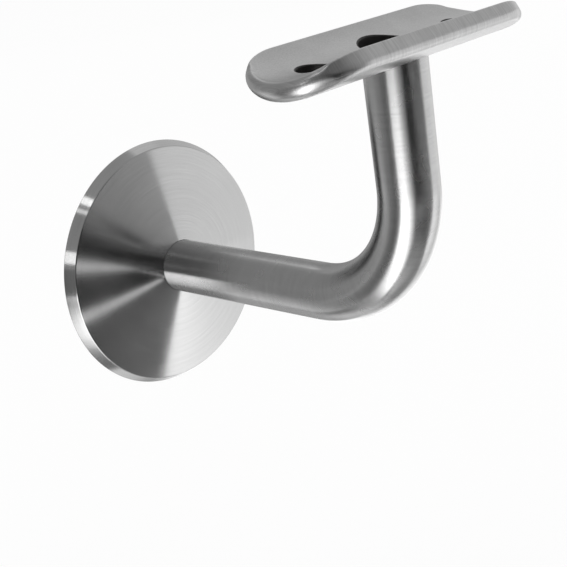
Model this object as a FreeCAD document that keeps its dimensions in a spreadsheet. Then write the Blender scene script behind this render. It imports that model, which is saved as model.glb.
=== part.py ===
import FreeCAD, Part
import math
import os
import Sketcher

# Handrail bracket for a 33.7 mm rail tube: a bent round bar that carries a turned
# wall flange at one end and a curved saddle plate at the other. Millimetres.
#
# Frame: the origin is the centre of the flange's wall side. The wall is the XZ plane,
# the rail runs along X, the arm leaves the wall towards -Y and rises along +Z.

# The driving dimensions. Each one goes into a cell of the sheet under the same name.
DRIVING_DIMENSIONS = (
    # The bent bar
    ("rod_diameter", 12.0),
    ("bend_radius", 25.0),
    ("wall_distance", 75.0),
    ("underside_height", 47.5),
    ("arm_back_clearance", 0.5),
    ("thread_bore_diameter", 6.8),
    ("thread_bore_depth", 22.0),
    ("thread_bore_chamfer", 0.7),
    # The turned flange
    ("flange_diameter", 58.0),
    ("flange_rim_height", 2.5),
    ("flange_rim_taper", 1.4),
    ("flange_nose_height", 6.3),
    ("flange_recess_diameter", 46.0),
    ("flange_recess_depth", 1.6),
    ("flange_edge_break", 0.2),
    ("flange_fit_clearance", 0.1),
    ("flange_weld_leg", 0.9),
    # The curved saddle plate
    ("tube_diameter", 33.7),
    ("saddle_length", 64.0),
    ("saddle_width", 24.0),
    ("saddle_thickness", 3.5),
    ("saddle_outer_chamfer", 1.0),
    ("saddle_edge_break", 0.2),
    ("screw_hole_diameter", 6.6),
    ("screw_hole_spacing", 42.0),
    ("arm_seat_clearance", 0.3),
    ("arm_seat_depth", 1.2),
    ("saddle_weld_leg", 1.1),
)

SHEET = "Dimensions"

# How far a point may stray from a place and still count as there, in millimetres, and
# how many points stand for an edge when its place is tested
PLACE_TOLERANCE = 0.001
POINTS_PER_EDGE = 9


def cell(name):
    """The name by which an expression reads a driving dimension."""
    return f"{SHEET}.{name}"


# Expressions that several features share, worked out from the driving dimensions
ROD_RADIUS = f"{cell('rod_diameter')} / 2"
TUBE_RADIUS = f"{cell('tube_diameter')} / 2"
SADDLE_OUTER_RADIUS = f"({TUBE_RADIUS} + {cell('saddle_thickness')})"
RAIL_HEIGHT = f"{cell('underside_height')} + {SADDLE_OUTER_RADIUS}"
ARM_TOP = f"{cell('underside_height')} + {cell('arm_seat_depth')}"
ARM_HOLE_RADIUS = f"({cell('rod_diameter')} + {cell('arm_seat_clearance')}) / 2"
FLANGE_RADIUS = f"{cell('flange_diameter')} / 2"
RIM_FRONT_RADIUS = f"{FLANGE_RADIUS} - {cell('flange_rim_taper')}"
THREAD_BORE_RADIUS = f"{cell('thread_bore_diameter')} / 2"


# The sheet and the sketches

def make_sheet(doc):
    """Write the driving dimensions into a sheet, one named cell each."""
    sheet = doc.addObject("Spreadsheet::Sheet", SHEET)
    for row, (name, value) in enumerate(DRIVING_DIMENSIONS, start=1):
        sheet.set(f"A{row}", name)
        sheet.set(f"B{row}", str(value))
        sheet.setAlias(f"B{row}", name)
    doc.recompute()


def current(item, expression):
    """The value that an expression has now, as a plain number. None stands for nought."""
    return float(item.evalExpression(expression)) if expression else 0.0


def new_body(doc, name, across_wall=None, upward=None):
    """A body whose origin stands at a distance from the wall and at a height."""
    body = doc.addObject("PartDesign::Body", name)
    if across_wall:
        body.setExpression("Placement.Base.y", across_wall)
    if upward:
        body.setExpression("Placement.Base.z", upward)
    return body


def new_sketch(body, name, role, offset=None):
    """A sketch on one of its body's origin planes, moved along the normal by an expression."""
    sketch = body.newObject("Sketcher::SketchObject", name)
    plane = next(item for item in body.Origin.OriginFeatures if item.Role == role)
    sketch.AttachmentSupport = [(plane, "")]
    sketch.MapMode = "FlatFace"
    sketch.Visibility = False
    if offset:
        sketch.setExpression("AttachmentOffset.Base.z", offset)
    return sketch


def drive(sketch, index, name, expression):
    """Name a constraint and bind its value to an expression."""
    sketch.renameConstraint(index, name)
    sketch.setExpression(f"Constraints.{name}", expression)


def place_point(sketch, geometry, vertex, name, across, upward):
    """Hold a vertex at signed distances from the sketch's origin. None puts it on that axis."""
    for direction, expression, axis in (("X", across, -2), ("Y", upward, -1)):
        if expression is None:
            sketch.addConstraint(Sketcher.Constraint("PointOnObject", geometry, vertex, axis))
            continue
        distance = Sketcher.Constraint(
            f"Distance{direction}", -1, 1, geometry, vertex, current(sketch, expression)
        )
        drive(sketch, sketch.addConstraint(distance), f"{name}_{direction.lower()}", expression)


def size_radius(sketch, geometry, name, expression):
    """Bind the radius of a circle or an arc to an expression."""
    radius = Sketcher.Constraint("Radius", geometry, current(sketch, expression))
    drive(sketch, sketch.addConstraint(radius), name, expression)


def join_in_ring(sketch, pieces):
    """Join the end of each piece of an outline to the start of the next."""
    for piece, following in zip(pieces, pieces[1:] + pieces[:1]):
        sketch.addConstraint(Sketcher.Constraint("Coincident", piece, 2, following, 1))


def closed_outline(sketch, corners):
    """A closed outline of straight lines through corners given as (name, across, upward)."""
    points = [
        FreeCAD.Vector(current(sketch, across), current(sketch, upward), 0)
        for _, across, upward in corners
    ]
    lines = [
        sketch.addGeometry(Part.LineSegment(start, end), False)
        for start, end in zip(points, points[1:] + points[:1])
    ]
    join_in_ring(sketch, lines)
    for line, (name, across, upward) in zip(lines, corners):
        place_point(sketch, line, 1, name, across, upward)


def circle(sketch, name, radius, across=None):
    """A circle whose centre lies on the sketch's first axis."""
    centre = FreeCAD.Vector(current(sketch, across), 0, 0)
    shape = Part.Circle(centre, FreeCAD.Vector(0, 0, 1), current(sketch, radius))
    ring = sketch.addGeometry(shape, False)
    if across:
        place_point(sketch, ring, 3, f"{name}_centre", across, None)
    else:
        sketch.addConstraint(Sketcher.Constraint("Coincident", ring, 3, -1, 1))
    size_radius(sketch, ring, f"{name}_radius", radius)


# Features

def turn(body, name, sketch, axis):
    """Turn a profile a full circle about one of its sketch's own axes."""
    turned = body.newObject("PartDesign::Revolution", name)
    turned.Profile = sketch
    turned.ReferenceAxis = (sketch, [axis])
    turned.Angle = 360
    return turned


def cut_through(body, name, sketch):
    """Cut a sketch's outline right through the body, both ways from its plane."""
    pocket = body.newObject("PartDesign::Pocket", name)
    pocket.Profile = sketch
    pocket.Type = "ThroughAll"
    pocket.SideType = "Symmetric"
    return pocket


def break_edges(body, name, size, chosen):
    """Chamfer those edges of the body that a test picks out."""
    body.Document.recompute()
    base = body.Tip
    names = [
        f"Edge{number}" for number, edge in enumerate(base.Shape.Edges, start=1) if chosen(edge)
    ]
    chamfer = body.newObject("PartDesign::Chamfer", name)
    chamfer.Base = (base, names)
    chamfer.setExpression("Size", size)


def keeps_distance(edge, axis, distance):
    """Whether an edge keeps one distance from a body axis, named by its letter, all along."""
    return not edge.Degenerated and all(
        abs(math.hypot(*(part for letter, part in zip("xyz", point) if letter != axis)) - distance)
        < PLACE_TOLERANCE
        for point in edge.discretize(POINTS_PER_EDGE)
    )


# The turned flange

def make_wall_flange(doc):
    """A shallow cone with a tapered rim, bored for the bar and recessed on the wall side."""
    body = new_body(doc, "wall_flange")
    profile = new_sketch(body, "flange_profile", "YZ_Plane")
    bore_radius = f"({cell('rod_diameter')} + {cell('flange_fit_clearance')}) / 2"
    recess_radius = f"{cell('flange_recess_diameter')} / 2"
    recess_floor = f"-{cell('flange_recess_depth')}"
    closed_outline(profile, (
        ("nose", f"-{cell('flange_nose_height')}", bore_radius),
        ("bore_back", recess_floor, bore_radius),
        ("recess_corner", recess_floor, recess_radius),
        ("recess_mouth", None, recess_radius),
        ("wall_edge", None, FLANGE_RADIUS),
        ("rim_front", f"-{cell('flange_rim_height')}", RIM_FRONT_RADIUS),
    ))
    turn(body, "flange_turning", profile, "H_Axis")
    rim_radii = [current(profile, FLANGE_RADIUS), current(profile, RIM_FRONT_RADIUS)]
    break_edges(
        body, "flange_edge_breaks", cell("flange_edge_break"),
        lambda edge: any(keeps_distance(edge, "y", radius) for radius in rim_radii),
    )


# The bent bar

def draw_arm_route(body):
    """The bar's middle line: out from the wall, a quarter bend, and up to the saddle."""
    route = new_sketch(body, "arm_route", "YZ_Plane")
    bend_radius = current(route, cell("bend_radius"))
    bend_y = bend_radius - current(route, cell("wall_distance"))
    bend_centre = FreeCAD.Vector(bend_y, bend_radius, 0)
    wall_end = FreeCAD.Vector(-current(route, cell("arm_back_clearance")), 0, 0)
    rail_end = FreeCAD.Vector(bend_y - bend_radius, current(route, ARM_TOP), 0)
    wall_leg = route.addGeometry(Part.LineSegment(wall_end, FreeCAD.Vector(bend_y, 0, 0)), False)
    bend_circle = Part.Circle(bend_centre, FreeCAD.Vector(0, 0, 1), bend_radius)
    bend = route.addGeometry(Part.ArcOfCircle(bend_circle, -math.pi, -math.pi / 2), False)
    rail_leg_start = FreeCAD.Vector(rail_end.x, bend_radius, 0)
    rail_leg = route.addGeometry(Part.LineSegment(rail_leg_start, rail_end), False)
    route.addConstraint(Sketcher.Constraint("Tangent", wall_leg, 2, bend, 2))
    route.addConstraint(Sketcher.Constraint("Tangent", bend, 1, rail_leg, 1))
    route.addConstraint(Sketcher.Constraint("PointOnObject", wall_leg, 2, -1))
    route.addConstraint(Sketcher.Constraint("Vertical", rail_leg))
    place_point(route, wall_leg, 1, "wall_end", f"-{cell('arm_back_clearance')}", None)
    place_point(route, rail_leg, 2, "rail_end", f"-{cell('wall_distance')}", ARM_TOP)
    size_radius(route, bend, "bend", cell("bend_radius"))
    return route


def make_bracket_arm(doc):
    """A round bar bent once, with a blind bore for a stud's thread in its wall end."""
    body = new_body(doc, "bracket_arm")
    route = draw_arm_route(body)
    section = new_sketch(body, "arm_section", "XZ_Plane", cell("arm_back_clearance"))
    circle(section, "rod", ROD_RADIUS)
    doc.recompute()
    bar = body.newObject("PartDesign::AdditivePipe", "bent_bar")
    bar.Profile = section
    bar.Spine = route
    doc.recompute()

    bore_mouth = new_sketch(body, "thread_bore_mouth", "XZ_Plane", cell("arm_back_clearance"))
    circle(bore_mouth, "bore", THREAD_BORE_RADIUS)
    doc.recompute()
    bore = body.newObject("PartDesign::Hole", "thread_bore")
    bore.Profile = bore_mouth
    bore.Reversed = True
    bore.DepthType = "Dimension"
    bore.DrillPoint = "Angled"
    bore.setExpression("Diameter", cell("thread_bore_diameter"))
    bore.setExpression("Depth", cell("thread_bore_depth"))
    mouth_radius = current(bore_mouth, THREAD_BORE_RADIUS)
    mouth_y = -current(bore_mouth, cell("arm_back_clearance"))
    break_edges(
        body, "thread_bore_countersink", cell("thread_bore_chamfer"),
        lambda edge: keeps_distance(edge, "y", mouth_radius)
        and abs(edge.BoundBox.YMin - mouth_y) < PLACE_TOLERANCE,
    )


# The curved saddle plate

def draw_radial_outline(body, name, depth, wide):
    """The plate's outline in a level plane at one depth under the rail's axis.

    The plate is cut out flat with half-round ends and then pressed round the rail, so its
    edges point at the rail's axis. In a level plane the half-round ends are half ellipses:
    along the rail they keep half the plate's width, and across it they widen with depth.
    A wide outline is one whose ellipses are longer across the rail than along it.
    """
    sketch = new_sketch(body, name, "XY_Plane", f"-({depth})")
    middle_diameter = f"({cell('tube_diameter')} + {cell('saddle_thickness')})"
    half_angle = f"1 rad * {cell('saddle_width')} / {middle_diameter}"
    half_width = f"({depth}) * tan({half_angle})"
    side = current(sketch, half_width)
    reach = current(sketch, cell("saddle_width")) / 2
    centre = current(sketch, cell("saddle_length")) / 2 - reach

    ends = {}
    for sign, start_angle in ((1, -math.pi / 2), (-1, math.pi / 2)):
        middle = FreeCAD.Vector(sign * centre, 0, 0)
        along = FreeCAD.Vector(reach, 0, 0)
        across = FreeCAD.Vector(0, side, 0)
        if wide:
            ellipse = Part.Ellipse(middle + across, middle - along, middle)
            start_angle -= math.pi / 2
        else:
            ellipse = Part.Ellipse(middle + along, middle + across, middle)
        arc = Part.ArcOfEllipse(ellipse, start_angle, start_angle + math.pi)
        ends[sign] = sketch.addGeometry(arc, False)
    corners = [FreeCAD.Vector(x, y, 0) for x, y in (
        (centre, side), (-centre, side), (-centre, -side), (centre, -side)
    )]
    left_side = sketch.addGeometry(Part.LineSegment(corners[0], corners[1]), False)
    right_side = sketch.addGeometry(Part.LineSegment(corners[2], corners[3]), False)
    join_in_ring(sketch, [ends[1], left_side, ends[-1], right_side])
    sketch.addConstraint(Sketcher.Constraint("Horizontal", left_side))
    side_distance = Sketcher.Constraint("DistanceY", -1, 1, left_side, 1, side)
    drive(sketch, sketch.addConstraint(side_distance), "side", half_width)

    for sign, end in ends.items():
        long_axis = len(sketch.Geometry)
        sketch.exposeInternalGeometry(end)
        sketch.addConstraint(Sketcher.Constraint("Vertical" if wide else "Horizontal", long_axis))
        sketch.addConstraint(Sketcher.Constraint("Vertical", end, 1, end, 3))
        sketch.addConstraint(Sketcher.Constraint("Vertical", end, 2, end, 3))
        label = "far" if sign > 0 else "near"
        straight_half = f"{sign} * ({cell('saddle_length')} - {cell('saddle_width')}) / 2"
        place_point(sketch, end, 3, f"{label}_centre", straight_half, None)
        lengthwise_axis = long_axis + 1 if wide else long_axis
        starts_at_tip = sketch.Geometry[lengthwise_axis].StartPoint.x * sign > centre
        tip = Sketcher.Constraint(
            "DistanceX", -1, 1, lengthwise_axis, 1 if starts_at_tip else 2, sign * (centre + reach)
        )
        drive(sketch, sketch.addConstraint(tip), f"{label}_tip", f"{sign} * {cell('saddle_length')} / 2")
    return sketch


def make_saddle_plate(doc):
    """A plate with half-round ends, pressed to the tube's curve, with its three holes."""
    body = new_body(doc, "saddle_plate", f"-{cell('wall_distance')}", RAIL_HEIGHT)

    # The outline swept along lines that meet the rail's axis
    blank = body.newObject("PartDesign::AdditiveLoft", "radial_blank")
    blank.Profile = draw_radial_outline(body, "outline_above", f"{TUBE_RADIUS} / 2", False)
    below = draw_radial_outline(
        body, "outline_below", f"{SADDLE_OUTER_RADIUS} + {cell('saddle_thickness')}", True
    )
    blank.Sections = [(below, [""])]
    blank.Ruled = True

    # The seat that the rail lies in, and the rounded back of the plate
    seat = new_sketch(body, "tube_seat_circle", "YZ_Plane")
    circle(seat, "tube", TUBE_RADIUS)
    cut_through(body, "tube_seat", seat)
    back = new_sketch(body, "plate_back_ring", "YZ_Plane")
    circle(back, "plate_back", SADDLE_OUTER_RADIUS)
    circle(back, "clear_of_plate", f"2 * {SADDLE_OUTER_RADIUS}")
    cut_through(body, "plate_back", back)

    # The hole that the bar's end stands in, and the two screw holes
    arm_hole = new_sketch(body, "arm_hole_circle", "XY_Plane")
    circle(arm_hole, "arm_hole", ARM_HOLE_RADIUS)
    cut_through(body, "arm_hole", arm_hole)
    screw_hole = new_sketch(body, "screw_hole_circle", "XY_Plane")
    circle(
        screw_hole, "screw_hole", f"{cell('screw_hole_diameter')} / 2",
        f"{cell('screw_hole_spacing')} / 2",
    )
    first_hole = cut_through(body, "screw_hole", screw_hole)
    doc.recompute()
    other_hole = body.newObject("PartDesign::Mirrored", "opposite_screw_hole")
    other_hole.Originals = [first_hole]
    other_hole.MirrorPlane = (screw_hole, ["V_Axis"])
    body.Tip = other_hole

    # The ground edge round the plate's back, then the deburred rims of the seat and the holes
    outer_radius = current(seat, SADDLE_OUTER_RADIUS)
    seat_radius = current(seat, TUBE_RADIUS)
    break_edges(
        body, "ground_outer_edge", cell("saddle_outer_chamfer"),
        lambda edge: keeps_distance(edge, "x", outer_radius) and not edge.isClosed(),
    )
    break_edges(
        body, "deburred_rims", cell("saddle_edge_break"),
        lambda edge: keeps_distance(edge, "x", seat_radius)
        or keeps_distance(edge, "x", outer_radius) and edge.isClosed(),
    )


# The weld seams

def make_flange_weld(doc):
    """The seam between the bar and the floor of the flange's recess, on the wall side."""
    body = new_body(doc, "flange_weld")
    section = new_sketch(body, "flange_weld_section", "YZ_Plane")
    floor = f"-{cell('flange_recess_depth')}"
    closed_outline(section, (
        ("corner", floor, ROD_RADIUS),
        ("bar_toe", f"{floor} + {cell('flange_weld_leg')}", ROD_RADIUS),
        ("floor_toe", floor, f"{ROD_RADIUS} + {cell('flange_weld_leg')}"),
    ))
    turn(body, "flange_weld_ring", section, "H_Axis")


def make_saddle_weld(doc):
    """The seam between the bar's end face and the wall of the saddle's middle hole."""
    body = new_body(doc, "saddle_weld", f"-{cell('wall_distance')}", ARM_TOP)
    section = new_sketch(body, "saddle_weld_section", "XZ_Plane")
    closed_outline(section, (
        ("corner", ARM_HOLE_RADIUS, None),
        ("hole_toe", ARM_HOLE_RADIUS, cell("saddle_weld_leg")),
        ("bar_toe", f"{ARM_HOLE_RADIUS} - {cell('saddle_weld_leg')}", None),
    ))
    turn(body, "saddle_weld_ring", section, "V_Axis")


# Checks and files

def check_document(doc):
    """Stop if an object failed, or if a feature of a body changed nothing."""
    for item in doc.Objects:
        faults = [state for state in item.State if state in ("Invalid", "Error")]
        if faults:
            raise RuntimeError(f"{item.Name} is {faults}")
    for body in doc.findObjects("PartDesign::Body"):
        if body.Shape.isNull() or not body.Shape.isValid() or len(body.Shape.Solids) != 1:
            raise RuntimeError(f"{body.Label} is not one sound solid")
        steps = [item for item in body.Group if item.isDerivedFrom("PartDesign::Feature")]
        for earlier, later in zip(steps, steps[1:]):
            if abs(later.Shape.Volume - earlier.Shape.Volume) < PLACE_TOLERANCE:
                raise RuntimeError(f"{later.Name} changed nothing")


def main():
    doc = FreeCAD.newDocument("HandrailBracket")
    make_sheet(doc)
    make_wall_flange(doc)
    make_bracket_arm(doc)
    make_saddle_plate(doc)
    make_flange_weld(doc)
    make_saddle_weld(doc)
    doc.recompute()
    check_document(doc)
    os.makedirs("parts", exist_ok=True)
    for body in doc.findObjects("PartDesign::Body"):
        body.Shape.exportStep(f"parts/{body.Label}.step")
        print(body.Label, round(body.Shape.Volume, 1), body.Shape.BoundBox)


main()
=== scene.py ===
"""Handrail bracket in stainless steel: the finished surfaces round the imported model.

A bent round bar joins a turned wall flange to a curved saddle plate. Each piece is a
class that holds its sizes in millimetres, builds its mesh from bmesh operators and
wears one of the finishes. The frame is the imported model's: the origin is the middle of
the flange's wall side, -Y points away from the wall, X runs along the rail and +Z is up.
"""

import logging
import math
from collections.abc import Callable, Iterable
from dataclasses import dataclass
from enum import Enum, IntEnum
from functools import partial

import bmesh
import bpy
from mathutils import Matrix, Vector


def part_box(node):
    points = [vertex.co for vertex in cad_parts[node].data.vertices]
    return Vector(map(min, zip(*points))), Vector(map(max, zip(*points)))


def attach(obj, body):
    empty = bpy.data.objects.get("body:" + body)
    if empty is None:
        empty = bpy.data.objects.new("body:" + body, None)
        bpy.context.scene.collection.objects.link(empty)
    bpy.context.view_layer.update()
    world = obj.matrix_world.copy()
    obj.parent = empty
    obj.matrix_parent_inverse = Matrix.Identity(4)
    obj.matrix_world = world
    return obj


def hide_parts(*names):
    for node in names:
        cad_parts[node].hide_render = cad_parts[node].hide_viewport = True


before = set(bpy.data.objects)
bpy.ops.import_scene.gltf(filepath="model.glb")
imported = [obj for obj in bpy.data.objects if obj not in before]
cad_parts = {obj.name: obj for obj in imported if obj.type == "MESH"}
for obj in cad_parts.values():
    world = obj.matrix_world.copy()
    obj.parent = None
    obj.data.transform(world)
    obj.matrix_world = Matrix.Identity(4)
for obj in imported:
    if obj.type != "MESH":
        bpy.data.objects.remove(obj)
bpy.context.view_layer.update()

BODY = "root"
MM = 0.001
FULL_TURN = 2 * math.pi
BAR_AXIS = Vector((0, 1, 0))
PHOTO_PIXELS = 567

SAME_PLACE = 1e-4
"""Points that lie closer together than this, in millimetres, are one point."""

SHARP_ANGLE = 28.0
"""Edges at which the surface turns by more than this, in degrees, are shaded crisp."""

Edges = list[bmesh.types.BMEdge]
Measure = Callable[[Vector], float]

log = logging.getLogger("handrail_bracket")


# Small helpers

def linear_colour(code: str) -> tuple[float, float, float, float]:
    """Turn an sRGB hex code into the linear colour that a shader takes.

    Args:
        code: Six hex digits, such as "CBCBC9".

    Returns:
        Red, green, blue and an alpha of one.
    """
    def channel(text: str) -> float:
        """One channel from its two hex digits."""
        value = int(text, 16) / 255
        return value / 12.92 if value <= 0.04045 else ((value + 0.055) / 1.055) ** 2.4

    return channel(code[0:2]), channel(code[2:4]), channel(code[4:6]), 1.0


def add_node(tree: bpy.types.NodeTree, kind: str, inputs: dict, **settings: object) -> bpy.types.Node:
    """Add a node, set its properties, and fill or link its inputs.

    Args:
        tree: The tree that gets the node.
        kind: The node's type name.
        inputs: Values by input name or number. A (node, output) pair becomes a link.
        **settings: Properties of the node itself.

    Returns:
        The new node.
    """
    node = tree.nodes.new(kind)
    for name, value in settings.items():
        setattr(node, name, value)
    for name, value in inputs.items():
        if isinstance(value, tuple) and isinstance(value[0], bpy.types.Node):
            tree.links.new(value[0].outputs[value[1]], node.inputs[name])
        else:
            node.inputs[name].default_value = value
    return node


def edges_where(bm: bmesh.types.BMesh, chosen: Callable[[Vector], bool]) -> Edges:
    """The edges of a mesh whose two ends both pass a test on their place."""
    return [edge for edge in bm.edges if all(chosen(vert.co) for vert in edge.verts)]


def edges_of(geometry: list) -> Edges:
    """The edges among the parts of a mesh that an operator gave back."""
    return [part for part in geometry if isinstance(part, bmesh.types.BMEdge)]


def edges_at(verts: Iterable[bmesh.types.BMVert]) -> Edges:
    """The edges that meet at some vertices, each of them once and always in the same order."""
    return list(dict.fromkeys(edge for vert in verts for edge in vert.link_edges))


def extrude(bm: bmesh.types.BMesh, edges: Edges) -> tuple[list[bmesh.types.BMVert], Edges]:
    """Extrude a row of edges in its place, and give back the new row's vertices and edges."""
    drawn = bmesh.ops.extrude_edge_only(bm, edges=edges)["geom"]
    return [part for part in drawn if isinstance(part, bmesh.types.BMVert)], edges_of(drawn)


def off_bar_axis(place: Vector) -> float:
    """How far a place lies from the flange's axis, which is the Y axis."""
    return math.hypot(place.x, place.z)


def short_way(turn: float) -> float:
    """The same turn, in radians, taken the short way round."""
    return (turn + math.pi) % FULL_TURN - math.pi


def shade_smooth(bm: bmesh.types.BMesh) -> None:
    """Shade every face smooth and keep the sharp edges crisp.

    Args:
        bm: The mesh.
    """
    limit = math.radians(SHARP_ANGLE)
    for face in bm.faces:
        face.smooth = True
    for edge in bm.edges:
        edge.smooth = not edge.is_manifold or edge.calc_face_angle(0) < limit


def mesh_data(bm: bmesh.types.BMesh, name: str) -> bpy.types.Mesh:
    """Write a mesh under construction into mesh data of its own.

    Args:
        bm: The mesh, which is freed.
        name: The data's name.

    Returns:
        The mesh data.
    """
    data = bpy.data.meshes.new(name)
    bm.to_mesh(data)
    bm.free()
    return data


def add_object(name: str, data: bpy.types.ID) -> bpy.types.Object:
    """Put an object with some data at the scene's origin.

    Args:
        name: The object's name.
        data: Its mesh or its camera data.

    Returns:
        The object.
    """
    made = bpy.data.objects.new(name, data)
    bpy.context.scene.collection.objects.link(made)
    return made


# Finishes

GRAIN_MAP = "grain"
"""The map that every piece carries: across the grain, then along it, in millimetres."""

NOISE_REACH = (0.3, 0.7)
"""The values between which nearly all of a noise lies."""


@dataclass(frozen=True)
class SteelFinish:
    """Stainless steel, with the surface that one way of working it leaves.

    Attributes:
        name: The finish's name, from the metal and how it was worked.
        colour: The metal's sRGB hex colour.
        roughness: How far a reflection spreads.
        anisotropy: How much further it spreads across the grain than along it.
        grain_width: The width of one scratch, in millimetres.
        grain_length: The length of one scratch, in millimetres.
        grain_height: The height of a scratch in the bump, in millimetres.
        streaks: How much lighter and darker the scratches are than the metal, as a share.
        patch_size: The size of the patches that are duller or brighter, in millimetres.
        patchiness: How far the roughness of those patches goes up and down.
        clouds: How much lighter and darker those patches are, as a share.
    """

    name: str
    colour: str
    roughness: float
    anisotropy: float
    grain_width: float
    grain_length: float
    grain_height: float
    streaks: float
    patch_size: float
    patchiness: float
    clouds: float

    def material(self) -> bpy.types.Material:
        """Build the node material.

        Returns:
            The material, with a grain that follows the piece's own map.
        """
        made = bpy.data.materials.new(self.name)
        made.use_nodes = True
        tree = made.node_tree
        shader = tree.nodes["Principled BSDF"]
        shader.inputs["Metallic"].default_value = 1.0
        shader.inputs["Anisotropic"].default_value = self.anisotropy
        place = add_node(tree, "ShaderNodeTexCoord", {})
        patches = add_node(tree, "ShaderNodeTexNoise", {
            "Vector": (place, "Object"), "Scale": 1 / (self.patch_size * MM), "Detail": 2.0,
        })
        scratches = self.add_scratches(tree, place)
        roughness, clouds, streaks = (
            add_node(tree, "ShaderNodeMapRange", {
                "Value": (noise, "Fac"), "From Min": NOISE_REACH[0], "From Max": NOISE_REACH[1],
                "To Min": middle - reach, "To Max": middle + reach,
            })
            for noise, middle, reach in (
                (patches, self.roughness, self.patchiness),
                (patches, 1.0, self.clouds),
                (scratches, 1.0, self.streaks),
            )
        )
        tree.links.new(roughness.outputs["Result"], shader.inputs["Roughness"])
        tone = add_node(tree, "ShaderNodeMath", {
            0: (clouds, "Result"), 1: (streaks, "Result"),
        }, operation="MULTIPLY")
        colour = add_node(tree, "ShaderNodeVectorMath", {
            0: linear_colour(self.colour)[:3], "Scale": (tone, "Value"),
        }, operation="SCALE")
        tree.links.new(colour.outputs["Vector"], shader.inputs["Base Color"])
        bump = add_node(tree, "ShaderNodeBump", {
            "Height": (scratches, "Fac"), "Strength": 1.0, "Distance": self.grain_height * MM,
        })
        tree.links.new(bump.outputs["Normal"], shader.inputs["Normal"])
        if self.anisotropy > 0:
            tangent = add_node(tree, "ShaderNodeTangent", {}, direction_type="UV_MAP", uv_map=GRAIN_MAP)
            tree.links.new(tangent.outputs["Tangent"], shader.inputs["Tangent"])
        return made

    def add_scratches(self, tree: bpy.types.NodeTree, place: bpy.types.Node) -> bpy.types.Node:
        """Add the scratches: quick to change across the grain, slow to change along it.

        The noise lies in the piece's own space, so it has no seam. Its fourth direction
        follows the map across the grain, and is the quick one.

        Args:
            tree: The tree that gets the nodes.
            place: The node that gives the place on the piece.

        Returns:
            The noise.
        """
        grain = add_node(tree, "ShaderNodeUVMap", {}, uv_map=GRAIN_MAP)
        across = add_node(tree, "ShaderNodeSeparateXYZ", {"Vector": (grain, "UV")})
        stretch = self.grain_length * MM / self.grain_width
        step = add_node(tree, "ShaderNodeMath", {0: (across, "X"), 1: stretch}, operation="MULTIPLY")
        return add_node(tree, "ShaderNodeTexNoise", {
            "Vector": (place, "Object"), "W": (step, "Value"),
            "Scale": 1 / (self.grain_length * MM), "Detail": 3.0,
        }, noise_dimensions="4D")


# The real scratches are 0.05 to 0.1 mm wide. They are drawn three to four times as wide
# here, so that the eye still sees them as a fine grain at the photograph's distance.

# The flange is turned in a lathe, with fine rings round its axis. A highlight on its cone
# opens into a fan that points at the bar.
TURNED = SteelFinish(
    "turned stainless steel", "C8C8C8", roughness=0.165, anisotropy=0.88,
    grain_width=0.20, grain_length=12.0, grain_height=0.0004, streaks=0.04,
    patch_size=9.0, patchiness=0.02, clouds=0.02,
)

# The bar is ground while it turns. What it mirrors becomes long stripes with clear borders.
GROUND = SteelFinish(
    "round-ground stainless bar", "C8C8C8", roughness=0.26, anisotropy=0.55,
    grain_width=0.35, grain_length=6.0, grain_height=0.0001, streaks=0.05,
    patch_size=6.0, patchiness=0.03, clouds=0.02,
)

# The plate's faces are blasted: an even grey without a direction, and faintly cloudy.
SATIN = SteelFinish(
    "blasted stainless plate", "CECECE", roughness=0.40, anisotropy=0.0,
    grain_width=0.30, grain_length=0.30, grain_height=0.0020, streaks=0.10,
    patch_size=9.0, patchiness=0.05, clouds=0.10,
)

# The plate's edge is ground from the seat to the back, which leaves fine lines across it
# and a soft shine that gathers round the ends.
EDGE_GROUND = SteelFinish(
    "cross-ground plate edge", "CACACA", roughness=0.31, anisotropy=0.0,
    grain_width=0.26, grain_length=4.0, grain_height=0.0013, streaks=0.12,
    patch_size=4.0, patchiness=0.03, clouds=0.03,
)

# The walls of the holes get a dark, dull colour: painted shade, so that the holes look black.
PAINTED_HOLE_SHADE = SteelFinish(
    "drilled steel with painted shade", "4C4B4A", roughness=0.48, anisotropy=0.0,
    grain_width=0.20, grain_length=6.0, grain_height=0.0020, streaks=0.10,
    patch_size=2.0, patchiness=0.06, clouds=0.10,
)

# The seams are brushed clean after welding, and stay a little darker and warmer.
WELDED = SteelFinish(
    "brushed weld seam", "A8A6A2", roughness=0.40, anisotropy=0.0,
    grain_width=0.20, grain_length=0.20, grain_height=0.0010, streaks=0.10,
    patch_size=2.0, patchiness=0.08, clouds=0.10,
)


# Pieces

class Piece:
    """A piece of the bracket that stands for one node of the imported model."""

    node: str
    slot: str

    def mesh(self) -> bmesh.types.BMesh:
        """Build the piece in millimetres, with its grain map."""
        raise NotImplementedError

    def finishes(self) -> tuple[SteelFinish, ...]:
        """The finishes, in the order of the mesh's material numbers."""
        raise NotImplementedError

    def build(self) -> bpy.types.Object:
        """Make the object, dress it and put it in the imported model's place.

        Returns:
            The finished object.
        """
        bm = self.mesh()
        bmesh.ops.recalc_face_normals(bm, faces=bm.faces)
        shade_smooth(bm)
        bmesh.ops.transform(bm, matrix=Matrix.Scale(MM, 4), verts=bm.verts)
        data = mesh_data(bm, self.node + "_finished")
        for finish in self.finishes():
            data.materials.append(finish.material())
        piece = add_object(data.name, data)
        even = piece.modifiers.new("even_shading", "WEIGHTED_NORMAL")
        even.keep_sharp = True
        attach(piece, BODY)
        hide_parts(self.node)
        return piece


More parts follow.
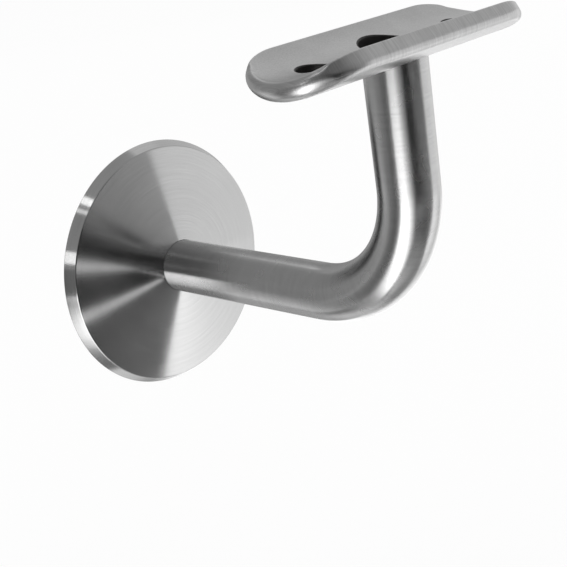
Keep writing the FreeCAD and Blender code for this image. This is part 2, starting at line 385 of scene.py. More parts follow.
def turned_ring(profile: list[tuple[float, float]], steps: int) -> bmesh.types.BMesh:
    """Turn a closed profile about the Y axis.

    Args:
        profile: Corners as (radius, y), in millimetres.
        steps: How many faces go round.

    Returns:
        A closed ring.
    """
    bm = bmesh.new()
    corners = [bm.verts.new((0, y, radius)) for radius, y in profile]
    edges = [bm.edges.new(pair) for pair in zip(corners, corners[1:] + corners[:1])]
    bmesh.ops.spin(
        bm, geom=corners + edges, cent=(0, 0, 0), axis=BAR_AXIS, angle=FULL_TURN,
        steps=steps, use_merge=True,
    )
    bmesh.ops.remove_doubles(bm, verts=bm.verts, dist=SAME_PLACE)
    return bm


def map_round_axis(bm: bmesh.types.BMesh) -> None:
    """Lay the grain map on a turned piece: outwards across the grain, round along it.

    Args:
        bm: The mesh, which is turned about the Y axis.
    """
    layer = bm.loops.layers.uv.new(GRAIN_MAP)
    for face in bm.faces:
        middle = face.calc_center_median()
        angle = math.atan2(middle.x, middle.z)
        for loop in face.loops:
            place = loop.vert.co
            turn = short_way(math.atan2(place.x, place.z) - angle)
            loop[layer].uv = (off_bar_axis(place) - place.y, (angle + turn) * off_bar_axis(middle))


@dataclass
class WallFlange(Piece):
    """The turned disc: a shallow cone with a tapered rim, bored and recessed."""

    node: str = "wall_flange"
    slot: str = "turned_flange_steel"
    rim_height: float = 2.5
    rim_taper: float = 1.4
    bore_radius: float = 6.05
    recess_radius: float = 23.0
    recess_depth: float = 1.6
    edge_break: float = 0.18
    edge_steps: int = 3
    steps: int = 256

    def mesh(self) -> bmesh.types.BMesh:
        """Turn the disc and break its edges.

        Returns:
            The disc.
        """
        low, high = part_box(self.node)
        nose = low[1] / MM
        radius = high[0] / MM
        wall_rim = (radius, 0.0)
        front_rim = (radius - self.rim_taper, -self.rim_height)
        recess_rim = (self.recess_radius, 0.0)
        bm = turned_ring([
            (self.bore_radius, nose),
            (self.bore_radius, -self.recess_depth),
            (self.recess_radius, -self.recess_depth),
            recess_rim,
            wall_rim,
            front_rim,
        ], self.steps)
        for rim in (wall_rim, front_rim, recess_rim):
            edges = edges_where(
                bm, lambda place: math.dist((off_bar_axis(place), place.y), rim) < self.edge_break / 2
            )
            bmesh.ops.bevel(
                bm, geom=edges, offset=self.edge_break, offset_type="OFFSET", segments=self.edge_steps,
                profile=0.5, affect="EDGES", material=-1,
            )
        map_round_axis(bm)
        return bm

    def finishes(self) -> tuple[SteelFinish, ...]:
        """One finish all over."""
        return (TURNED,)


class BarPart(Enum):
    """The three parts of the bent bar."""

    WALL_LEG = "from the wall to the bend"
    BEND = "the quarter bend"
    RAIL_LEG = "from the bend up to the saddle"


@dataclass
class BracketArm(Piece):
    """The round bar: out from the wall, a quarter bend, and up to the saddle."""

    node: str = "bracket_arm"
    slot: str = "ground_bar_steel"
    radius: float = 6.0
    bend_radius: float = 25.0
    countersink_radius: float = 4.1
    countersink_depth: float = 0.7
    thread_radius: float = 4.0
    drill_radius: float = 3.4
    pitch: float = 1.25
    thread_depth: float = 17.0
    thread_angle: float = 60.0
    thread_sides: int = 42
    bore_depth: float = 22.0
    drill_point_angle: float = 59.0
    sides: int = 128
    wall_leg_rows: int = 24
    bend_rows: int = 64
    rail_leg_rows: int = 12

    def __post_init__(self) -> None:
        """Read the bar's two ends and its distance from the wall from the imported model."""
        low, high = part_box(self.node)
        self.wall_end = high[1] / MM
        self.rail_end = high[2] / MM
        self.rail_leg_y = low[1] / MM + self.radius
        self.bend_y = self.rail_leg_y + self.bend_radius

    def mesh(self) -> bmesh.types.BMesh:
        """Cut the threaded bore, then draw the bar out of the end face round it.

        Returns:
            The bar.
        """
        bm = bmesh.new()
        mouth = self.cut_bore(bm)
        edges = self.add_ring(bm, self.radius, self.wall_end)
        bmesh.ops.bridge_loops(bm, edges=mouth + edges)
        edges = self.draw_out(bm, edges, Vector((0, self.bend_y - self.wall_end, 0)), self.wall_leg_rows)
        bent = bmesh.ops.spin(
            bm, geom=edges, cent=(0, self.bend_y, self.bend_radius), axis=(1, 0, 0),
            angle=-math.pi / 2, steps=self.bend_rows, use_merge=False,
        )
        edges = edges_of(bent["geom_last"])
        rise = Vector((0, 0, self.rail_end - self.bend_radius))
        edges = self.draw_out(bm, edges, rise, self.rail_leg_rows)
        bmesh.ops.holes_fill(bm, edges=edges, sides=0)
        bmesh.ops.remove_doubles(bm, verts=bm.verts, dist=SAME_PLACE)
        self.map_along_bar(bm)
        return bm

    def add_ring(self, bm: bmesh.types.BMesh, radius: float, y: float) -> Edges:
        """Add a circle of edges about the wall leg's axis.

        Args:
            bm: The mesh.
            radius: The circle's radius, in millimetres.
            y: Where it lies along the axis, in millimetres.

        Returns:
            The circle's edges.
        """
        place = Matrix.Translation((0, y, 0)) @ Matrix.Rotation(math.pi / 2, 4, "X")
        made = bmesh.ops.create_circle(bm, cap_ends=False, segments=self.sides, radius=radius, matrix=place)
        return edges_at(made["verts"])

    def cut_bore(self, bm: bmesh.types.BMesh) -> Edges:
        """Cut the threaded blind bore: countersink, thread, plain run and drill point.

        Args:
            bm: The mesh.

        Returns:
            The edges of the countersink's mouth.
        """
        thread_top = self.wall_end - self.countersink_depth
        thread_end = self.wall_end - self.thread_depth
        plain_top = thread_end - self.pitch / 2
        bottom = self.wall_end - self.bore_depth
        tip = bottom - self.drill_radius / math.tan(math.radians(self.drill_point_angle))
        first, last = self.cut_thread(bm, thread_top, thread_end)
        mouth = self.add_ring(bm, self.countersink_radius, self.wall_end)
        bmesh.ops.bridge_loops(bm, edges=mouth + first)
        plain = self.add_ring(bm, self.drill_radius, plain_top)
        bmesh.ops.bridge_loops(bm, edges=plain + last)
        edges = self.draw_out(bm, plain, Vector((0, bottom - plain_top, 0)), 1)
        edges = self.draw_out(bm, edges, Vector((0, tip - bottom, 0)), 1)
        ends = list(dict.fromkeys(vert for edge in edges for vert in edge.verts))
        bmesh.ops.pointmerge(bm, verts=ends, merge_co=(0, tip, 0))
        return mouth

    def cut_thread(self, bm: bmesh.types.BMesh, top: float, end: float) -> tuple[Edges, Edges]:
        """Cut the thread by winding one tooth round the axis and on by its pitch.

        Args:
            bm: The mesh.
            top: Where the thread starts, in millimetres.
            end: Where the thread ends, in millimetres.

        Returns:
            The edges of its first and its last rim.
        """
        flank = (self.thread_radius - self.drill_radius) * math.tan(math.radians(self.thread_angle / 2))
        root = self.pitch / 8
        crest = self.pitch - 2 * flank - root
        start = top + self.pitch
        turns = math.ceil((start - end) / self.pitch) + 1
        corners = (
            (self.drill_radius, 0),
            (self.drill_radius, crest),
            (self.thread_radius, crest + flank),
            (self.thread_radius, crest + flank + root),
            (self.drill_radius, self.pitch),
        )
        tooth = [bm.verts.new((0, start - way, radius)) for radius, way in corners]
        line = [bm.edges.new(pair) for pair in zip(tooth, tooth[1:])]
        bmesh.ops.spin(
            bm, geom=tooth + line, cent=(0, 0, 0), axis=BAR_AXIS, angle=FULL_TURN * turns,
            dvec=(0, -self.pitch / self.thread_sides, 0), steps=self.thread_sides * turns, use_merge=False,
        )
        bmesh.ops.remove_doubles(bm, verts=bm.verts, dist=SAME_PLACE)
        rims = []
        for y, beyond in ((top, 1), (end, -1)):
            geometry = list(bm.verts) + list(bm.edges) + list(bm.faces)
            cut = bmesh.ops.bisect_plane(
                bm, geom=geometry, dist=SAME_PLACE / 10, plane_co=(0, y, 0), plane_no=(0, beyond, 0),
                clear_outer=True,
            )
            rims.append(edges_of(cut["geom_cut"]))
        return rims[0], rims[1]

    @staticmethod
    def draw_out(bm: bmesh.types.BMesh, edges: Edges, way: Vector, steps: int) -> Edges:
        """Extrude a ring of edges along a straight way in equal steps.

        Args:
            bm: The mesh.
            edges: The ring to start from.
            way: The whole way, in millimetres.
            steps: How many rows of faces it gets.

        Returns:
            The ring at the far end.
        """
        for _ in range(steps):
            verts, edges = extrude(bm, edges)
            bmesh.ops.translate(bm, verts=verts, vec=way / steps)
        return edges

    def part_at(self, place: Vector) -> BarPart:
        """Find the part of the bar that a place belongs to.

        Args:
            place: The place, in millimetres.

        Returns:
            The part.
        """
        if place.y >= self.bend_y:
            return BarPart.WALL_LEG
        return BarPart.RAIL_LEG if place.z > self.bend_radius else BarPart.BEND

    def unrolled(self, place: Vector, part: BarPart) -> tuple[float, float]:
        """Find a place again on the bar as if it were straight.

        Args:
            place: The place, in millimetres.
            part: The part of the bar that it is seen as belonging to.

        Returns:
            How far along the bar it lies, in millimetres, and at which angle round it.
        """
        leg_length = -self.bend_y
        if part is BarPart.WALL_LEG:
            along = -place.y
            inward = place.z
        elif part is BarPart.BEND:
            back = self.bend_y - place.y
            down = self.bend_radius - place.z
            along = leg_length + self.bend_radius * math.atan2(back, down)
            inward = self.bend_radius - math.hypot(back, down)
        else:
            along = leg_length + self.bend_radius * math.pi / 2 + place.z - self.bend_radius
            inward = place.y - self.rail_leg_y
        return along, math.atan2(place.x, inward)

    def map_along_bar(self, bm: bmesh.types.BMesh) -> None:
        """Lay the grain map on the bar: along it across the grain, round it with the grain.

        Args:
            bm: The mesh.
        """
        layer = bm.loops.layers.uv.new(GRAIN_MAP)
        for face in bm.faces:
            middle = face.calc_center_median()
            part = self.part_at(middle)
            _, face_angle = self.unrolled(middle, part)
            for loop in face.loops:
                along, angle = self.unrolled(loop.vert.co, part)
                turn = short_way(angle - face_angle)
                loop[layer].uv = (along, (face_angle + turn) * self.radius)

    def finishes(self) -> tuple[SteelFinish, ...]:
        """One finish all over."""
        return (GROUND,)


class PlateSurface(IntEnum):
    """The saddle plate's surfaces, with their material numbers."""

    FACE = 0
    EDGE = 1
    HOLE_WALL = 2


@dataclass
class SaddlePlate(Piece):
    """The plate with half-round ends, pressed to the rail's curve, with its three holes.

    The two radii of back_round and seat_round are those along the sides and round the
    ends. The one goes over into the other between rounded_from and rounded_by, which are
    degrees round an end.
    """

    node: str = "saddle_plate"
    slot: str = "satin_plate_steel"
    tube_radius: float = 16.85
    thickness: float = 3.5
    width: float = 24.0
    arm_hole_radius: float = 6.15
    screw_hole_radius: float = 3.3
    screw_hole_spacing: float = 42.0
    back_round: tuple[float, float] = (1.7, 2.2)
    seat_round: tuple[float, float] = (0.4, 1.2)
    rounded_from: float = 36.0
    rounded_by: float = 48.0
    rim_break: float = 0.25
    rim_steps: int = 3
    drilled_margin: float = 0.1
    end_steps: int = 64
    side_steps: int = 28
    hole_steps: int = 64
    round_steps: int = 8
    longest_edge: float = 1.3

    def __post_init__(self) -> None:
        """Read the plate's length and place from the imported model."""
        low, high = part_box(self.node)
        self.reach = self.width / 2
        self.straight_half = high[0] / MM - self.reach
        self.axis_y = (low[1] + high[1]) / 2 / MM
        self.axis_z = low[2] / MM + self.thickness + self.tube_radius
        self.edge_slope = math.tan(self.width / (2 * self.tube_radius + self.thickness))

    def mesh(self) -> bmesh.types.BMesh:
        """Make the plate flat, with rounded edges and holes, then press it to the rail.

        Returns:
            The plate.
        """
        bm = bmesh.new()
        half_spacing = self.screw_hole_spacing / 2
        seat_rims, back_rims = zip(
            self.add_outer_wall(bm),
            self.add_hole(bm, 0, self.arm_hole_radius),
            self.add_hole(bm, half_spacing, self.screw_hole_radius),
            self.add_hole(bm, -half_spacing, self.screw_hole_radius),
        )
        for rims in (seat_rims, back_rims):
            bmesh.ops.triangle_fill(bm, use_beauty=True, edges=[edge for rim in rims for edge in rim])
        self.refine_faces(bm)
        self.map_flat(bm)
        for vert in bm.verts:
            vert.co = self.pressed(vert.co)
        return bm

    def core(self, place: Vector) -> Vector:
        """The point of the plate's middle line that a point of the outline is drawn about."""
        return Vector((max(-self.straight_half, min(self.straight_half, place.x)), 0, 0))

    def round_end(self, place: Vector) -> float:
        """How far round an end a point of the outline lies, in radians from the straight side."""
        return math.asin(min(1.0, max(0.0, abs(place.x) - self.straight_half) / self.reach))

    def rounding(self, place: Vector, radii: tuple[float, float]) -> float:
        """The radius of the outer edge at a place.

        Args:
            place: A point of the full outline.
            radii: The radius along the sides and the one round the ends, in millimetres.

        Returns:
            The radius there, in millimetres.
        """
        turned = math.degrees(self.round_end(place))
        share = min(1.0, max(0.0, (turned - self.rounded_from) / (self.rounded_by - self.rounded_from)))
        return radii[0] + (radii[1] - radii[0]) * share * share * (3 - 2 * share)

    @staticmethod
    def quarter(steps: int) -> list[float]:
        """The angles of a quarter turn in equal steps, without its start."""
        return [math.pi / 2 * number / steps for number in range(1, steps + 1)]

    def add_outer_wall(self, bm: bmesh.types.BMesh) -> tuple[Edges, Edges]:
        """Draw the plate's edge down from the seat: broken rim, wall, and the back's round.

        Args:
            bm: The mesh, which is still empty.

        Returns:
            The edges of the seat's rim and of the back's rim.
        """
        half_step = Matrix.Rotation(math.pi / (2 * self.end_steps), 4, "Z")
        made = bmesh.ops.create_circle(
            bm, cap_ends=False, segments=2 * self.end_steps, radius=self.reach, matrix=half_step
        )
        for vert in made["verts"]:
            vert.co.x += math.copysign(self.straight_half, vert.co.x)
        sides = [edge for edge in bm.edges if edge.calc_length() > self.reach]
        bmesh.ops.subdivide_edges(bm, edges=sides, cuts=self.side_steps)
        seat = partial(self.rounding, radii=self.seat_round)
        back = partial(self.rounding, radii=self.back_round)
        edges = rim = list(bm.edges)
        self.set_row(bm.verts, seat, lambda place: 0.0)
        for rise in self.quarter(self.round_steps):
            edges = self.draw_row(
                bm, edges, lambda place: seat(place) * (1 - math.sin(rise)),
                lambda place: -seat(place) * (1 - math.cos(rise)),
            )
        for rise in [0.0] + self.quarter(self.round_steps):
            edges = self.draw_row(
                bm, edges, lambda place: back(place) * (1 - math.cos(rise)),
                lambda place: back(place) * (1 - math.sin(rise)) - self.thickness,
            )
        for face in bm.faces:
            face.material_index = PlateSurface.EDGE
        return rim, edges

    def set_row(self, verts: Iterable[bmesh.types.BMVert], inset: Measure, height: Measure) -> None:
        """Set how far inside the full outline a row of points lies, and how high.

        Args:
            verts: The points of the row.
            inset: Gives how far inside the full outline a point goes.
            height: Gives a point's height, nought at the seat.
        """
        for vert in verts:
            core = self.core(vert.co)
            outward = Vector((vert.co.x - core.x, vert.co.y, 0)).normalized()
            full = core + outward * self.reach
            vert.co = full - outward * inset(full)
            vert.co.z = height(full)

    def draw_row(self, bm: bmesh.types.BMesh, edges: Edges, inset: Measure, height: Measure) -> Edges:
        """Extrude the outline by one row and set that row.

        Args:
            bm: The mesh.
            edges: The outline so far.
            inset: Gives how far inside the full outline a point goes.
            height: Gives a point's height, nought at the seat.

        Returns:
            The new outline's edges.
        """
        verts, edges = extrude(bm, edges)
        self.set_row(verts, inset, height)
        return edges

    def add_hole(self, bm: bmesh.types.BMesh, centre: float, radius: float) -> tuple[Edges, Edges]:
        """Draw a hole down from the seat, with both rims broken.

        Args:
            bm: The mesh.
            centre: Where the hole lies along the plate, in millimetres.
            radius: The hole's radius, in millimetres.

        Returns:
            The edges of its rim in the seat and in the back.
        """
        made = bmesh.ops.create_circle(
            bm, cap_ends=False, segments=self.hole_steps, radius=radius + self.rim_break,
            matrix=Matrix.Translation((centre, 0, 0)),
        )
        edges = rim = edges_at(made["verts"])
        broken = [
            (self.rim_break * (1 - math.sin(rise)), self.rim_break * (1 - math.cos(rise)))
            for rise in self.quarter(self.rim_steps)
        ]
        rows = [(wider, -drop) for wider, drop in broken]
        rows += [(wider, drop - self.thickness) for wider, drop in reversed(broken)]
        rows.append((self.rim_break, -self.thickness))
        for wider, height in rows:
            verts, edges = extrude(bm, edges)
            for vert in verts:
                outward = Vector((vert.co.x - centre, vert.co.y, 0)).normalized()
                vert.co = Vector((centre, 0, height)) + outward * (radius + wider)
        for face in bm.faces:
            if face.material_index == PlateSurface.FACE:
                face.material_index = PlateSurface.HOLE_WALL
        return rim, edges

    def refine_faces(self, bm: bmesh.types.BMesh) -> None:
        """Cut the seat and the back into triangles that are small enough to follow the curve.

        Args:
            bm: The mesh, in which only these two faces have no other material yet.
        """
        def flat_faces() -> list[bmesh.types.BMFace]:
            """The triangles of the seat and the back."""
            return [face for face in bm.faces if face.material_index == PlateSurface.FACE]

        def inner_edges() -> Edges:
            """Find the edges between two such triangles.

            Returns:
                The edges.
            """
            return [
                edge for edge in bm.edges
                if all(face.material_index == PlateSurface.FACE for face in edge.link_faces)
            ]

        while long_edges := [edge for edge in inner_edges() if edge.calc_length() > self.longest_edge]:
            bmesh.ops.subdivide_edges(bm, edges=long_edges, cuts=1)
            bmesh.ops.triangulate(bm, faces=flat_faces())
            bmesh.ops.beautify_fill(bm, faces=flat_faces(), edges=inner_edges())

    def map_flat(self, bm: bmesh.types.BMesh) -> None:
        """Lay the grain map on the flat plate. On its edge the grain runs across the thickness.

        Args:
            bm: The mesh, before it is pressed.
        """
        layer = bm.loops.layers.uv.new(GRAIN_MAP)
        for face in bm.faces:
            for loop in face.loops:
                place = loop.vert.co
                if face.material_index == PlateSurface.EDGE:
                    along = min(abs(place.x), self.straight_half) + self.reach * self.round_end(place)
                    loop[layer].uv = (math.copysign(along, place.x), place.z)
                else:
                    loop[layer].uv = (place.y, place.x)

    def is_drilled(self, place: Vector) -> bool:
        """Tell whether a place is among the holes, whose walls stay upright in the pressing.

        Args:
            place: A point of the flat plate, in millimetres.

        Returns:
            True in the block round the three holes.
        """
        margin = self.rim_break + self.drilled_margin
        beyond = self.screw_hole_spacing / 2 + self.screw_hole_radius + margin
        return abs(place.x) < beyond and abs(place.y) < self.arm_hole_radius + margin

    def pressed(self, place: Vector) -> Vector:
        """Where a point of the flat plate lies once the plate is pressed.

        The plate's edges then point at the rail's axis, while the holes stay upright.

        Args:
            place: A point of the flat plate, in millimetres.

        Returns:
            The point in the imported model's frame, in millimetres.
        """
        radius = self.tube_radius - place.z
        if self.is_drilled(place):
            across = place.y
        else:
            across = radius * math.sin(math.atan(place.y / self.reach * self.edge_slope))
        return Vector((place.x, self.axis_y + across, self.axis_z - math.sqrt(radius ** 2 - across ** 2)))

    def finishes(self) -> tuple[SteelFinish, ...]:
        """One finish for each of the plate's surfaces."""
        # The hole walls wear the dark finish whose colour is painted shade.
        return SATIN, EDGE_GROUND, PAINTED_HOLE_SHADE


@dataclass
class WeldSeam(Piece):
    """A weld seam round the bar, with the ripples that each drop of filler leaves."""

    node: str
    slot: str = "weld_steel"
    ripples: int = 46
    ripple_depth: float = 0.09
    ripple_lag: float = 2.2
    plain_toe: float = 0.05
    crown: float = 0.12
    crown_points: int = 7
    steps: int = 368

    def corners(self) -> tuple[Vector, Vector, Vector]:
        """The seam's root and its two toes, as (radius, y) about the Y axis."""
        raise NotImplementedError

    def mesh(self) -> bmesh.types.BMesh:
        """Turn the seam's section and press its ripples in.

        Returns:
            The seam, about the Y axis.
        """
        root, toe, far_toe = self.corners()
        outward = ((toe + far_toe) / 2 - root).normalized()
        section = [root]
        for number in range(self.crown_points):
            share = number / (self.crown_points - 1)
            section.append(toe.lerp(far_toe, share) + outward * self.crown * math.sin(math.pi * share))
        bm = turned_ring([tuple(point) for point in section], self.steps)
        for vert in bm.verts:
            spot = Vector((off_bar_axis(vert.co), vert.co.y)) - toe
            share = spot.dot(far_toe - toe) / (far_toe - toe).length_squared
            if spot.dot(outward) < -SAME_PLACE or not self.plain_toe < share < 1 - self.plain_toe:
                continue
            angle = math.atan2(vert.co.x, vert.co.z)
            swell = math.sin(math.pi * share)
            wave = 0.5 - 0.5 * math.cos(angle * self.ripples + self.ripple_lag * swell)
            around = Vector((math.sin(angle), 0, math.cos(angle)))
            vert.co -= (around * outward.x + BAR_AXIS * outward.y) * self.ripple_depth * wave * swell
        map_round_axis(bm)
        return bm

    def finishes(self) -> tuple[SteelFinish, ...]:
        """One finish all over."""
        return (WELDED,)


@dataclass
class FlangeWeld(WeldSeam):
    """The seam between the bar and the floor of the flange's recess."""

    node: str = "flange_weld"

    def corners(self) -> tuple[Vector, Vector, Vector]:
        """Find the seam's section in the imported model.

        Returns:
            The corner of the bar and the recess's floor, and the seam's toe on each.
        """
        low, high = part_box(self.node)
        floor, top = low[1] / MM, high[1] / MM
        outer = high[0] / MM
        bar = outer - (top - floor)
        return Vector((bar, floor)), Vector((outer, floor)), Vector((bar, top))


@dataclass
class SaddleWeld(WeldSeam):
    """The seam between the bar's end face and the wall of the saddle's middle hole."""

    node: str = "saddle_weld"

    def corners(self) -> tuple[Vector, Vector, Vector]:
        """Find the seam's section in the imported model.

        Returns:
            The corner of the bar's end face and the hole's wall, and the seam's toe on each.
        """
        low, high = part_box(self.node)
        leg = (high[2] - low[2]) / MM
        wall = high[0] / MM
        return Vector((wall, 0.0)), Vector((wall, leg)), Vector((wall - leg, 0.0))

    def mesh(self) -> bmesh.types.BMesh:
        """Turn the seam, then stand it on the bar's end face.

        Returns:
            The seam in its place.
        """
        bm = super().mesh()
        low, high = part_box(self.node)
        foot = Vector(((low[0] + high[0]) / 2, (low[1] + high[1]) / 2, low[2])) / MM
        placed = Matrix.Translation(foot) @ Matrix.Rotation(math.pi / 2, 4, "X")
        bmesh.ops.transform(bm, matrix=placed, verts=bm.verts)
        return bm


# Studio

@dataclass(frozen=True)
class PhotoCamera:
    """The photograph's viewpoint, fitted to the bracket's outlines.

    Attributes:
        azimuth: Degrees about +Z, where nought looks along +Y.
        elevation: Degrees above the horizon.
        roll: Degrees that the camera is turned about its own axis.
        target: The point that the middle ray would pass through, in millimetres.
        distance: From the target to the lens, in millimetres.
        focal_pixels: The focal length in pixels of the photograph.
        centre: The pixel where the lens axis meets the photograph.
        sensor_width: In millimetres.
        nearest: The nearest thing that the camera shows, in metres.
    """

    azimuth: float = -47.04
    elevation: float = 20.50
    roll: float = -8.08
    target: tuple[float, float, float] = (18.43, -35.0, -7.14)
    distance: float = 247.9
    focal_pixels: float = 1075.4
    centre: tuple[float, float] = (331.0, 282.3)
    sensor_width: float = 36.0
    nearest: float = 0.005

    def build(self) -> None:
        """Make the camera and set it as the scene's own."""
        turn, tilt, roll = (math.radians(value) for value in (self.azimuth, self.elevation, self.roll))
        back = Vector((math.sin(turn) * math.cos(tilt), -math.cos(turn) * math.cos(tilt), math.sin(tilt)))
        level = Vector((math.cos(turn), math.sin(turn), 0))
        upright = back.cross(level)
        right = level * math.cos(roll) + upright * math.sin(roll)
        up = upright * math.cos(roll) - level * math.sin(roll)
        data = bpy.data.cameras.new("photo_camera")
        data.sensor_width = self.sensor_width
        data.lens = self.focal_pixels / PHOTO_PIXELS * self.sensor_width
        data.shift_x = (PHOTO_PIXELS / 2 - self.centre[0]) / PHOTO_PIXELS
        data.shift_y = (self.centre[1] - PHOTO_PIXELS / 2) / PHOTO_PIXELS
        data.clip_start = self.nearest
        camera = add_object("photo_camera", data)
        place = (Vector(self.target) + back * self.distance) * MM
        turned = Matrix((right, up, back)).transposed().to_4x4()
        camera.matrix_world = Matrix.Translation(place) @ turned
        bpy.context.scene.camera = camera


SHARE_MAP = "share"
"""The map that every card carries: how far along the card and how far up it a point lies."""

CARD_STEPS = (32, 16)
"""How many faces a card has along it and up it, so that it bends evenly."""


@dataclass(frozen=True)
class StudioCard:
    """A soft card that stands round the bracket and shows in the metal.

    Attributes:
        name: What the card is in the studio.
        azimuths: Where it starts and ends, in degrees from +X towards +Y.
        start_heights: Its lower and upper edge where it starts, in degrees above the horizon.
        end_heights: The same where it ends.
        brightness: How bright it is where it starts and where it ends. One is white.
    """

    name: str
    azimuths: tuple[float, float]
    start_heights: tuple[float, float]
    end_heights: tuple[float, float]
    brightness: tuple[float, float]

    def build(self, distance: float) -> None:
        """Bend a flat grid round the bracket and make it glow.

        Args:
            distance: How far it stands from the bracket, in metres.
        """
        bm = bmesh.new()
        bm.loops.layers.uv.new(SHARE_MAP)
        columns, rows = CARD_STEPS
        bmesh.ops.create_grid(bm, x_segments=columns, y_segments=rows, size=0.5, calc_uvs=True)
        for vert in bm.verts:
            along, up = vert.co.x + 0.5, vert.co.y + 0.5
            azimuth = math.radians(self.azimuths[0] + (self.azimuths[1] - self.azimuths[0]) * along)
            lower, upper = Vector(self.start_heights).lerp(Vector(self.end_heights), along)
            elevation = math.radians(lower + (upper - lower) * up)
            level = math.cos(elevation)
            way = Vector((math.cos(azimuth) * level, math.sin(azimuth) * level, math.sin(elevation)))
            vert.co = way * distance
        data = mesh_data(bm, self.name)
        data.materials.append(self.glow())
        card = add_object(self.name, data)
        card.visible_camera = False
        card.visible_diffuse = False

    def glow(self) -> bpy.types.Material:
        """Make a glow that goes from one end's brightness to the other's.

        Returns:
            The card's material.
        """
        made = bpy.data.materials.new(self.name)
        made.use_nodes = True
        tree = made.node_tree
        grid = add_node(tree, "ShaderNodeUVMap", {}, uv_map=SHARE_MAP)
        along = add_node(tree, "ShaderNodeSeparateXYZ", {"Vector": (grid, "UV")})
        fade = add_node(tree, "ShaderNodeMapRange", {
            "Value": (along, "X"), "To Min": self.brightness[0], "To Max": self.brightness[1],
        })
        shine = add_node(tree, "ShaderNodeEmission", {"Strength": (fade, "Result")})
        tree.links.new(shine.outputs["Emission"], tree.nodes["Material Output"].inputs["Surface"])
        return made


# The cards that the bracket stands among: angles in degrees, then the brightness. Right is
# beyond the rail's far end, left is beyond its near end, and front is away from the wall.
STUDIO_CARDS = (
    StudioCard("right_low_card", (-53, -10), (-18, 12), (-18, 12), (0.88, 1.0)),
    StudioCard("right_far_low_card", (-10, 38), (-18, 12), (-18, 12), (1.0, 0.6)),
    StudioCard("right_high_card", (-53, 38), (12, 42), (12, 42), (0.48, 0.66)),
    StudioCard("right_floor_card", (-53, -5), (-48, -18), (-62, -18), (1.6, 0.6)),
    StudioCard("right_far_floor_card", (-5, 50), (-62, -18), (-62, -18), (1.1, 1.7)),
    StudioCard("top_card", (-15, 65), (42, 64), (42, 64), (0.5, 0.95)),
    StudioCard("wall_side_card", (38, 80), (-18, 42), (-18, 42), (0.28, 0.46)),
    StudioCard("wall_left_card", (80, 160), (-18, 15), (-18, 15), (0.46, 0.26)),
    StudioCard("wall_high_card", (80, 160), (15, 62), (15, 62), (0.30, 0.30)),
    StudioCard("wall_floor_card", (50, 112), (-60, -18), (-60, -18), (0.4, 0.6)),
    StudioCard("under_card", (20, 118), (-88, -60), (-88, -60), (0.6, 1.0)),
    StudioCard("left_under_card", (118, 168), (-88, -50), (-88, -56), (0.2, 0.2)),
    StudioCard("left_dim_card", (160, 186), (-21, 9), (-19, 9), (0.20, 0.10)),
    StudioCard("bar_strip_card", (112, 140), (-50, -18), (-50, -18), (1.2, 0.3)),
    StudioCard("left_floor_dim_card", (140, 170), (-50, -18), (-50, -18), (0.18, 0.14)),
    StudioCard("left_floor_near_card", (170, 186), (-54, -44), (-78, -20), (1.5, 2.6)),
    StudioCard("left_floor_card", (186, 212), (-78, -12), (-66, -10), (2.6, 2.9)),
    StudioCard("left_floor_far_card", (212, 238), (-66, -10), (-46, -14), (2.3, 0.15)),
    StudioCard("under_far_card", (212, 300), (-88, -66), (-88, -62), (0.9, 0.4)),
    StudioCard("left_high_dim_card", (192, 238), (-8, 50), (-8, 50), (0.2, 0.08)),
    StudioCard("left_slit", (183, 191), (13, 22), (13, 22), (2.7, 2.7)),
    StudioCard("high_left_slit", (178, 196), (59, 65), (59, 65), (3.0, 3.0)),
    StudioCard("high_left_glint", (178, 196), (52, 55), (52, 55), (1.6, 1.6)),
    StudioCard("front_near_card", (-55, -92), (-20, -12), (-26, 11), (0.05, 0.03)),
    StudioCard("front_far_card", (-92, -122), (-26, 11), (-30, 26), (0.03, 0.03)),
    StudioCard("front_upper_card", (-55, -92), (-12, 62), (11, 62), (0.40, 0.16)),
    StudioCard("front_far_upper_card", (-92, -122), (11, 62), (26, 62), (0.16, 0.18)),
    StudioCard("front_lower_card", (-55, -92), (-48, -20), (-44, -26), (0.20, 0.05)),
    StudioCard("front_far_lower_card", (-92, -122), (-44, -26), (-46, -30), (0.12, 0.04)),
    StudioCard("front_floor_card", (-50, -122), (-66, -48), (-66, -44), (0.34, 0.40)),
)

# Two narrow lights in the dim front. They stand a little nearer, before the cards.
FRONT_SLITS = (
    StudioCard("front_slit", (-100, -56), (-5.8, -3.4), (-18.6, -16.2), (0.9, 0.9)),
    StudioCard("front_low_slit", (-122, -66), (-28.8, -26.2), (-22.0, -19.6), (1.6, 0.7)),
)


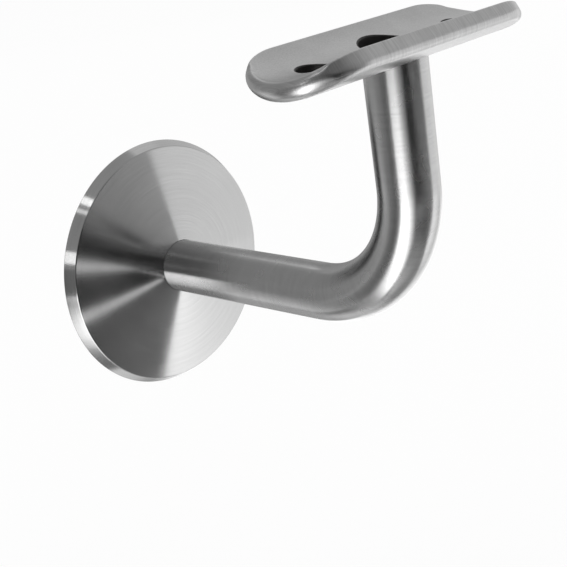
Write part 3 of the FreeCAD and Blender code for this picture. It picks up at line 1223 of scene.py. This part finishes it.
@dataclass(frozen=True)
class Studio:
    """A pale floor and soft cards in a plain, dimmer room.

    Attributes:
        floor_height: Where the floor lies, in metres.
        floor_half_width: How far the floor reaches to each side, in metres.
        floor_lift: The share of plain white that the camera sees in the floor.
        card_distance: How far the cards stand from the bracket, in metres.
        slit_distance: How far the narrow front lights stand from it, in metres.
        room_brightness: How bright the room looks to the metal between the cards.
    """

    floor_height: float = -0.10
    floor_half_width: float = 3.0
    floor_lift: float = 0.75
    card_distance: float = 1.5
    slit_distance: float = 1.4
    room_brightness: float = 0.35

    def build(self) -> None:
        """Make the floor, the cards and the world."""
        self.lay_floor()
        for card in STUDIO_CARDS:
            card.build(self.card_distance)
        for slit in FRONT_SLITS:
            slit.build(self.slit_distance)
        self.light_world()
        bpy.context.scene.view_settings.view_transform = "Standard"

    def lay_floor(self) -> None:
        """Lay a wide pale floor under the bracket. It looks white and keeps a soft shadow."""
        bm = bmesh.new()
        bmesh.ops.create_grid(bm, x_segments=1, y_segments=1, size=self.floor_half_width)
        bmesh.ops.translate(bm, verts=bm.verts, vec=(0, 0, self.floor_height))
        data = mesh_data(bm, "floor")
        data.materials.append(self.paper())
        floor = add_object("floor", data)
        floor.visible_glossy = False

    def paper(self) -> bpy.types.Material:
        """Make matt white paper that the camera sees a little lighter than it is lit.

        Returns:
            The floor's material.
        """
        made = bpy.data.materials.new("matt white paper")
        made.use_nodes = True
        tree = made.node_tree
        shader = tree.nodes["Principled BSDF"]
        shader.inputs["Base Color"].default_value = linear_colour("FAFAFA")
        shader.inputs["Roughness"].default_value = 0.9
        path = add_node(tree, "ShaderNodeLightPath", {})
        white = add_node(tree, "ShaderNodeEmission", {"Strength": 1.0})
        lifted = add_node(tree, "ShaderNodeMath", {
            0: (path, "Is Camera Ray"), 1: self.floor_lift,
        }, operation="MULTIPLY")
        mixed = add_node(tree, "ShaderNodeMixShader", {
            0: (lifted, "Value"), 1: (shader, "BSDF"), 2: (white, "Emission"),
        })
        tree.links.new(mixed.outputs["Shader"], tree.nodes["Material Output"].inputs["Surface"])
        return made

    def light_world(self) -> None:
        """Make a white surrounding that lights evenly, and that the metal sees as a dimmer room."""
        world = bpy.data.worlds.new("studio")
        bpy.context.scene.world = world
        world.use_nodes = True
        tree = world.node_tree
        path = add_node(tree, "ShaderNodeLightPath", {})
        seen = add_node(tree, "ShaderNodeMapRange", {
            "Value": (path, "Is Glossy Ray"), "To Min": 1.0, "To Max": self.room_brightness,
        })
        background = tree.nodes["Background"]
        tree.links.new(seen.outputs["Result"], background.inputs["Strength"])
        background.inputs["Color"].default_value = (1.0, 1.0, 1.0, 1.0)


def main() -> None:
    """Build the camera, the studio and every piece, in that order."""
    logging.basicConfig(level=logging.INFO, format="%(name)s: %(message)s")
    PhotoCamera().build()
    Studio().build()
    for piece in (WallFlange(), BracketArm(), SaddlePlate(), FlangeWeld(), SaddleWeld()):
        finished = piece.build()
        log.info("%s: %d faces", finished.name, len(finished.data.polygons))


if __name__ == "__main__":
    main()
